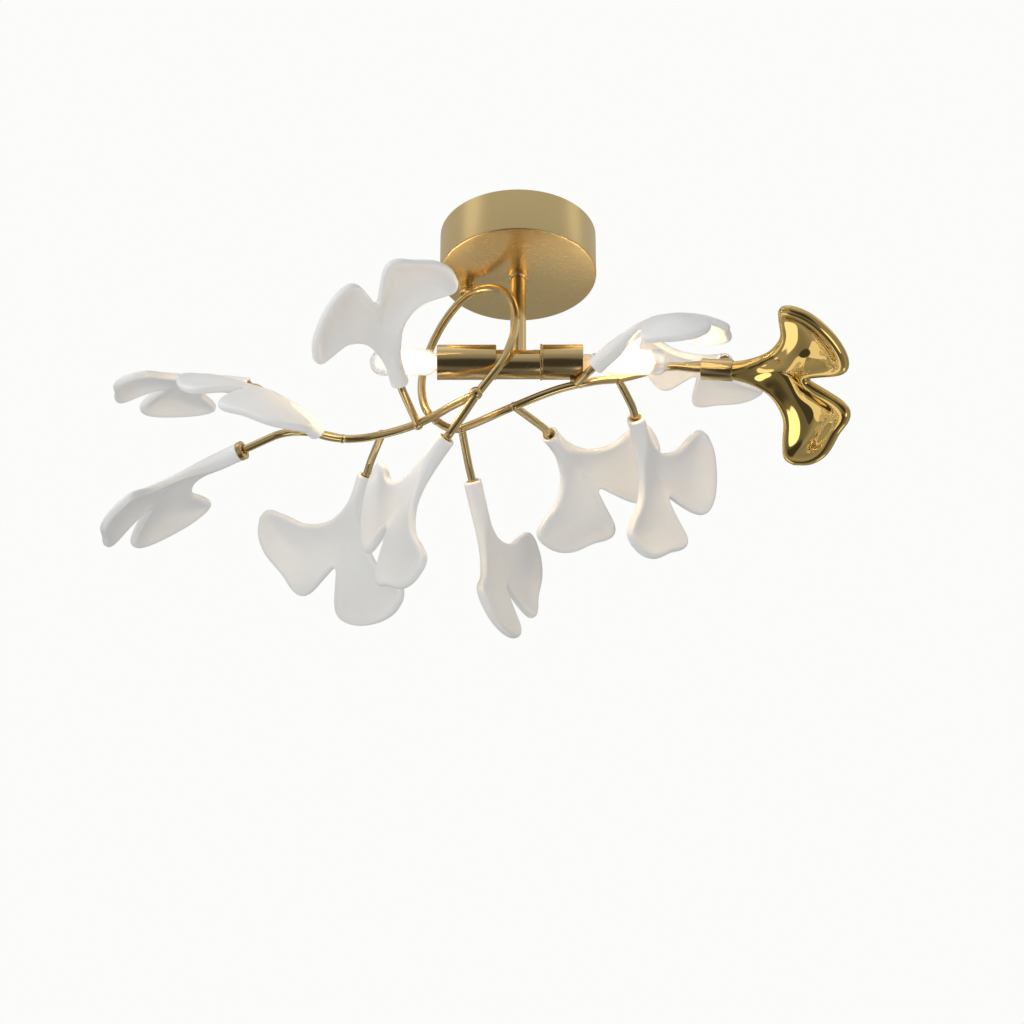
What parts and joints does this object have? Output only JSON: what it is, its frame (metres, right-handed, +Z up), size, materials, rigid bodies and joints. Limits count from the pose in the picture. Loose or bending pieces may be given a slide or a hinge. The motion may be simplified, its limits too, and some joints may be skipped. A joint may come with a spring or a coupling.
{
  "type": "semi-flush ceiling light",
  "caption": "Semi-flush ceiling light: round brass canopy, short stem, lamp bar and curving brass rods that end in white ginkgo-shaped leaves and one gold leaf.",
  "frame": {"origin": "centre of the ceiling bracket's screw pattern, in the ceiling plane", "axes": "+Z up into the ceiling, +X along the lamp bar towards the gold leaf, -Y towards the viewer"},
  "size_m": [0.5699, 0.2994, 0.2875],
  "materials": {
    "satin_brass": "satin",
    "gold_mirror": "polished",
    "white_glaze": "satin",
    "zinc_steel": "satin",
    "pin_metal": "polished",
    "holder_ceramic": "matte",
    "block_plastic": "matte",
    "wire_cover": "matte",
    "bulb_glass": "polished",
    "bulb_glow": "matte"
  },
  "bodies": {
    "fixture": {"canopy_shell": "satin_brass", "stem_collar": "satin_brass", "stem_tube": "satin_brass", "hub_tube": "satin_brass", "hub_ring": "satin_brass", "left_cup": "satin_brass", "right_cup": "satin_brass", "lower_rod": "satin_brass", "loop_rod": "satin_brass", "left_rod": "satin_brass", "loop_post": "satin_brass", "cup_lug": "satin_brass", "leaf_stubs": "satin_brass", "ceiling_bracket": "zinc_steel", "earth_screw": "zinc_steel", "threaded_nipple": "zinc_steel", "nipple_washer": "zinc_steel", "nipple_nut": "zinc_steel", "post_screw": "zinc_steel", "hub_grub_screw": "zinc_steel", "lampholder_screws": "zinc_steel", "terminal_screws": "zinc_steel", "terminal_block": "block_plastic", "supply_wires": "wire_cover", "left_lampholder": "holder_ceramic", "right_lampholder": "holder_ceramic", "lampholder_contacts": "pin_metal"},
    "front_leaf_swivel": {"front_leaf": "white_glaze", "front_leaf_bush": "satin_brass"},
    "left_leaf_swivel": {"left_leaf": "white_glaze", "left_leaf_bush": "satin_brass"},
    "far_left_leaf_swivel": {"far_left_leaf": "white_glaze", "far_left_leaf_bush": "satin_brass"},
    "low_left_leaf_swivel": {"low_left_leaf": "white_glaze", "low_left_leaf_bush": "satin_brass"},
    "hanging_left_leaf_swivel": {"hanging_left_leaf": "white_glaze", "hanging_left_leaf_bush": "satin_brass"},
    "middle_leaf_swivel": {"middle_leaf": "white_glaze", "middle_leaf_bush": "satin_brass"},
    "hanging_middle_leaf_swivel": {"hanging_middle_leaf": "white_glaze", "hanging_middle_leaf_bush": "satin_brass"},
    "hanging_right_leaf_swivel": {"hanging_right_leaf": "white_glaze", "hanging_right_leaf_bush": "satin_brass"},
    "right_back_leaf_swivel": {"right_back_leaf": "white_glaze", "right_back_leaf_bush": "satin_brass"},
    "right_front_leaf_swivel": {"right_front_leaf": "white_glaze", "right_front_leaf_bush": "satin_brass"},
    "back_leaf_swivel": {"back_leaf": "white_glaze", "back_leaf_bush": "satin_brass"},
    "gold_leaf_swivel": {"gold_leaf": "gold_mirror", "gold_leaf_bush": "satin_brass"},
    "left_bulb": {"left_bulb_base": "holder_ceramic", "left_bulb_pins": "pin_metal", "left_bulb_glass": "bulb_glass", "left_bulb_core": "bulb_glow"},
    "right_bulb": {"right_bulb_base": "holder_ceramic", "right_bulb_pins": "pin_metal", "right_bulb_glass": "bulb_glass", "right_bulb_core": "bulb_glow"}
  },
  "joints": [
    {"name": "front_leaf_turn", "type": "hinge", "parent": "fixture", "child": "front_leaf_swivel", "pos_m": [-0.0885, -0.005, -0.1385], "axis": [-0.2258, -0.9058, 0.3584], "range_deg": [-30, 30]},
    {"name": "left_leaf_turn", "type": "hinge", "parent": "fixture", "child": "left_leaf_swivel", "pos_m": [-0.153, 0.041, -0.152], "axis": [-0.5147, -0.8566, 0.0349], "range_deg": [-30, 30]},
    {"name": "far_left_leaf_turn", "type": "hinge", "parent": "fixture", "child": "far_left_leaf_swivel", "pos_m": [-0.209, 0.054, -0.1025], "axis": [-0.9095, 0.2781, 0.309], "range_deg": [-30, 20]},
    {"name": "low_left_leaf_turn", "type": "hinge", "parent": "fixture", "child": "low_left_leaf_swivel", "pos_m": [-0.211, 0.0605, -0.157], "axis": [-0.8775, 0.4471, -0.1737], "range_deg": [-20, 30]},
    {"name": "hanging_left_leaf_turn", "type": "hinge", "parent": "fixture", "child": "hanging_left_leaf_swivel", "pos_m": [-0.1185, 0.104, -0.1534], "axis": [-0.2971, 0.774, -0.5592], "range_deg": [-30, 30]},
    {"name": "middle_leaf_turn", "type": "hinge", "parent": "fixture", "child": "middle_leaf_swivel", "pos_m": [-0.054, 0.009, -0.18], "axis": [-0.5504, 0.6797, -0.4848], "range_deg": [-10, 30]},
    {"name": "hanging_middle_leaf_turn", "type": "hinge", "parent": "fixture", "child": "hanging_middle_leaf_swivel", "pos_m": [-0.035, 0.076, -0.176], "axis": [0.2173, 0.7107, -0.6691], "range_deg": [-30, 10]},
    {"name": "hanging_right_leaf_turn", "type": "hinge", "parent": "fixture", "child": "hanging_right_leaf_swivel", "pos_m": [0.024, 0.058, -0.1445], "axis": [0.4065, 0.913, 0.0349], "range_deg": [-25, 5]},
    {"name": "right_back_leaf_turn", "type": "hinge", "parent": "fixture", "child": "right_back_leaf_swivel", "pos_m": [0.0895, 0.045, -0.1385], "axis": [0.2325, 0.9327, -0.2756], "range_deg": [-5, 25]},
    {"name": "right_front_leaf_turn", "type": "hinge", "parent": "fixture", "child": "right_front_leaf_swivel", "pos_m": [0.058, -0.016, -0.131], "axis": [0.7198, -0.604, 0.342], "range_deg": [-30, 30]},
    {"name": "back_leaf_turn", "type": "hinge", "parent": "fixture", "child": "back_leaf_swivel", "pos_m": [0.16, 0.053, -0.081], "axis": [-0.2052, 0.8229, 0.5299], "range_deg": [-30, 30]},
    {"name": "gold_leaf_turn", "type": "hinge", "parent": "fixture", "child": "gold_leaf_swivel", "pos_m": [0.141, 0.0143, -0.1137], "axis": [0.9727, -0.1541, -0.1737], "range_deg": [-30, 30]},
    {"name": "left_bulb_pull", "type": "slide", "parent": "fixture", "child": "left_bulb", "axis": [-1, 0, 0], "range_m": [0, 0.014]},
    {"name": "right_bulb_pull", "type": "slide", "parent": "fixture", "child": "right_bulb", "axis": [1, 0, 0], "range_m": [0, 0.014]}
  ]
}
